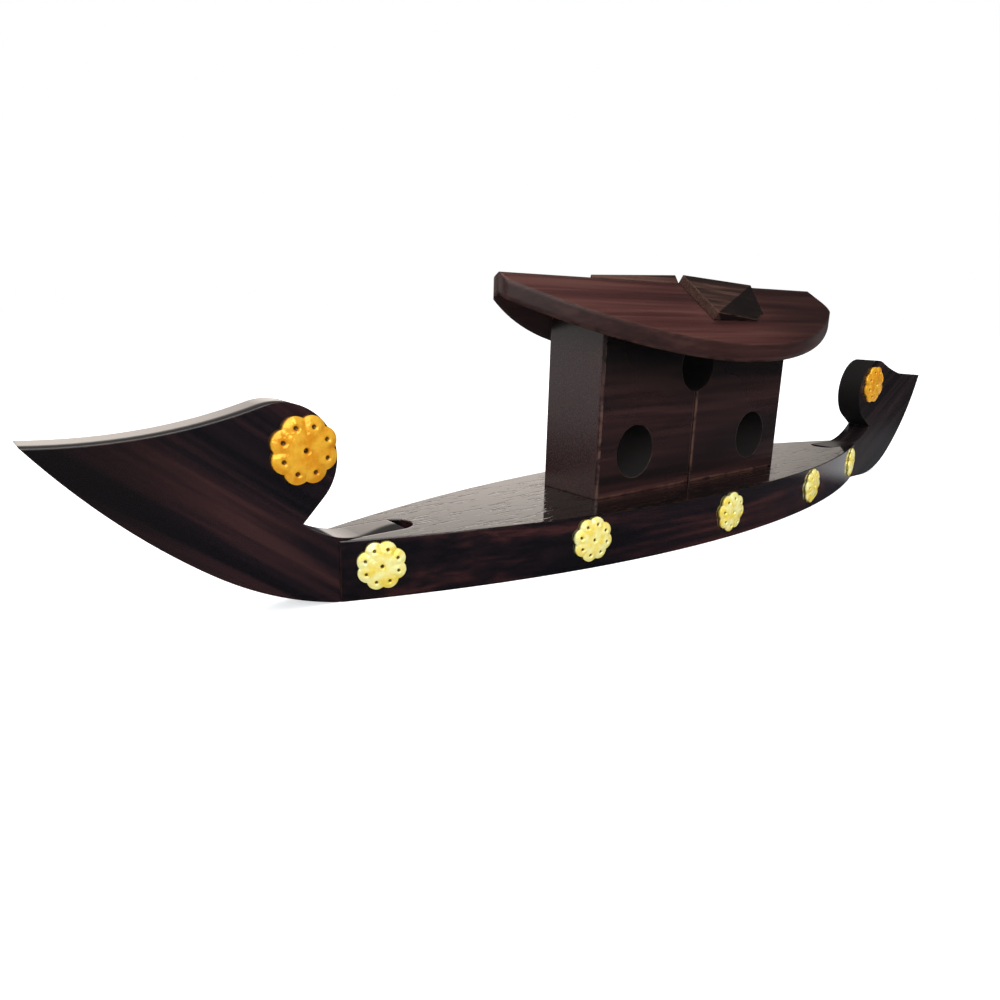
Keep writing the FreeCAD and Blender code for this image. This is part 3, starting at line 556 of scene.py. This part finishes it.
def studio():
    """White surroundings for the eye, even light, and two soft lamps.

    The lacquer mirrors a bright wall beyond the boat and one to its left, and darkness overhead and
    behind the camera.
    """
    world = bpy.data.worlds.new("studio")
    bpy.context.scene.world = world
    world.use_nodes = True
    tree = world.node_tree
    tree.nodes.clear()
    path = add(tree, "ShaderNodeLightPath").outputs
    way = axes_of(tree, add(tree, "ShaderNodeTexCoord").outputs["Generated"])
    beyond = number(tree, "MULTIPLY_ADD", way["X"], 0.3, product(tree, way["Y"], 0.95))
    wall = stretch(tree, beyond, 0.52, 0.96, 0.06, 1.0)
    left_wall = product(tree, stretch(tree, way["X"], -0.3, -0.6, 0.0, 0.9),
                        stretch(tree, way["Y"], 0.2, 0.5))
    overhead = stretch(tree, way["Z"], 0.22, 0.5, 1.0, 0.08)
    gloss = larger(tree, path["Is Glossy Ray"], path["Is Transmission Ray"])
    mirrored = product(tree, larger(tree, wall, left_wall), overhead)
    seen = larger(tree, path["Is Camera Ray"], product(tree, mirrored, gloss))
    unseen = number(tree, "SUBTRACT", 1.0, larger(tree, path["Is Camera Ray"], gloss))
    strength = number(tree, "MULTIPLY_ADD", unseen, 0.5, seen)
    tint = blend_colours(tree, gloss, WHITE, (1.0, 0.90, 0.82, 1.0))
    glow = add(tree, "ShaderNodeBackground", {"Color": tint, "Strength": strength})
    add(tree, "ShaderNodeOutputWorld", {"Surface": glow.outputs["Background"]})
    for name, settings in LAMPS.items():
        lamp(name, *settings)


def photo_camera():
    """Camera turned by yaw from +Y toward +X, tipped down by pitch and rolled about its line of sight."""
    ahead = Vector((math.sin(YAW) * math.cos(PITCH), math.cos(YAW) * math.cos(PITCH), -math.sin(PITCH)))
    level = Vector((math.cos(YAW), -math.sin(YAW), 0.0))
    above = level.cross(ahead)
    right = math.cos(ROLL) * level + math.sin(ROLL) * above
    top = -math.sin(ROLL) * level + math.cos(ROLL) * above
    lens = bpy.data.cameras.new("photo_camera")
    lens.lens = LENS
    lens.sensor_width = SENSOR
    lens.clip_start = 5 * MM
    camera = bpy.data.objects.new("photo_camera", lens)
    bpy.context.scene.collection.objects.link(camera)
    camera.matrix_world = Matrix.Translation(EYE) @ Matrix((right, top, -ahead)).transposed().to_4x4()
    bpy.context.scene.camera = camera


# Tones of each wood, from its darkest streak to its palest.
HULL_TONES = [(0.0, (0.0025, 0.0022, 0.0032)), (0.35, (0.007, 0.0042, 0.0056)),
              (0.70, (0.020, 0.0075, 0.0085)), (1.0, (0.045, 0.015, 0.014))]
BOARD_TONES = [(0.0, (0.0025, 0.0022, 0.0032)), (0.35, (0.007, 0.0044, 0.006)),
               (0.70, (0.019, 0.008, 0.0094)), (1.0, (0.038, 0.0148, 0.0145))]
STERN_TONES = [(0.0, (0.003, 0.003, 0.0036)), (0.35, (0.008, 0.0065, 0.0075)),
               (0.70, (0.015, 0.010, 0.011)), (1.0, (0.028, 0.016, 0.016))]
CABIN_TONES = [(0.0, (0.007, 0.0045, 0.005)), (0.35, (0.014, 0.0068, 0.0074)),
               (0.70, (0.028, 0.011, 0.0115)), (1.0, (0.048, 0.020, 0.019))]
ROOF_TONES = [(0.0, (0.028, 0.0095, 0.0095)), (0.35, (0.045, 0.015, 0.014)),
              (0.70, (0.064, 0.022, 0.020)), (1.0, (0.090, 0.035, 0.029))]
HATCH_TONES = [(0.0, (0.014, 0.007, 0.006)), (0.35, (0.034, 0.016, 0.013)),
               (0.70, (0.065, 0.031, 0.024)), (1.0, (0.110, 0.060, 0.046))]

hull_wood = lacquered_wood("hull_rosewood", GRAIN_ALONG_HULL, HULL_TONES, 0.06, 0.5, coat=1.0, fine=0.36,
                           pored=deck_top, darker_wood_and_shade=deck_painted_shade)
bow_wood = lacquered_wood("bow_rosewood", GRAIN_DOWN_BOW, BOARD_TONES, 0.12, 0.5, coat=1.0,
                          offset=(0.02, 0.0, 0.01), fine=0.3, dull_shade=joint_gap_shade, darker_wood_and_shade=dark_tip)
stern_wood = lacquered_wood("stern_rosewood", GRAIN_DOWN_STERN, STERN_TONES, 0.16, 0.2,
                            offset=(0.07, 0.0, 0.03), wear=0.1, fine=0.3, dull_shade=sawn_edge_shade)
cabin_wood = lacquered_wood("cabin_rosewood", GRAIN_ALONG_HULL, CABIN_TONES, 0.24, 0.5,
                            offset=(0.11, 0.02, 0.0), wear=0.9, fine=0.28, dull_shade=bore_shade, darker_wood_and_shade=under_roof_shade,
                            scuffed=cabin_corners)
roof_wood = lacquered_wood("roof_rosewood", GRAIN_ALONG_HULL, ROOF_TONES, 0.34, 0.4,
                           offset=(0.31, 0.05, 0.02), wear=0.3, fine=0.42, ease=1.3 * MM, darker_wood_and_shade=roof_aft_dark_and_eave_shade)
hatch_wood = lacquered_wood("hatch_rosewood", GRAIN_ALONG_HULL, HATCH_TONES, 0.5, 0.2,
                            offset=(0.43, 0.01, 0.07), wear=0.9, fine=0.5, darker_wood_and_shade=aft_facet_shade)
pale_gold = stamped_gold("hull_flower_gold", (0.97, 0.76, 0.12, 1.0), (1.0, 0.96, 0.42, 1.0), 0.3)
deep_gold = stamped_gold("head_flower_gold", (0.80, 0.32, 0.015, 1.0), (0.95, 0.50, 0.04, 1.0), 0.35)
pin_metal = stamped_gold("pin_bronze", (0.05, 0.025, 0.008, 1.0), (0.10, 0.05, 0.015, 1.0), 0.6)

FINISHES = {
    "hull_plank": hull_wood, "bow_board": bow_wood, "stern_board": stern_wood,
    "fore_cabin_block": cabin_wood, "aft_cabin_block": cabin_wood,
    "near_roof_plank": roof_wood, "far_roof_plank": roof_wood,
    "near_roof_hatch": hatch_wood, "far_roof_hatch": hatch_wood, "rosette_pins": pin_metal,
}
for node, finish in FINISHES.items():
    materials = frame["nodes"][node].data.materials
    materials.clear()
    materials.append(finish)

for side in ("near", "far"):
    for place in range(1, ROW_FLOWERS + 1):
        name = "%s_hull_rosette_%d" % (side, place)
        flower(name, pale_gold, math.radians(ROW_TURN + ROW_TURN_STEP * place))
    for end in ("bow", "stern"):
        name = "%s_%s_rosette" % (side, end)
        flower(name, deep_gold, math.radians(HEAD_TURN))

backdrop()
studio()
photo_camera()
bpy.context.scene.view_settings.view_transform = "Standard"
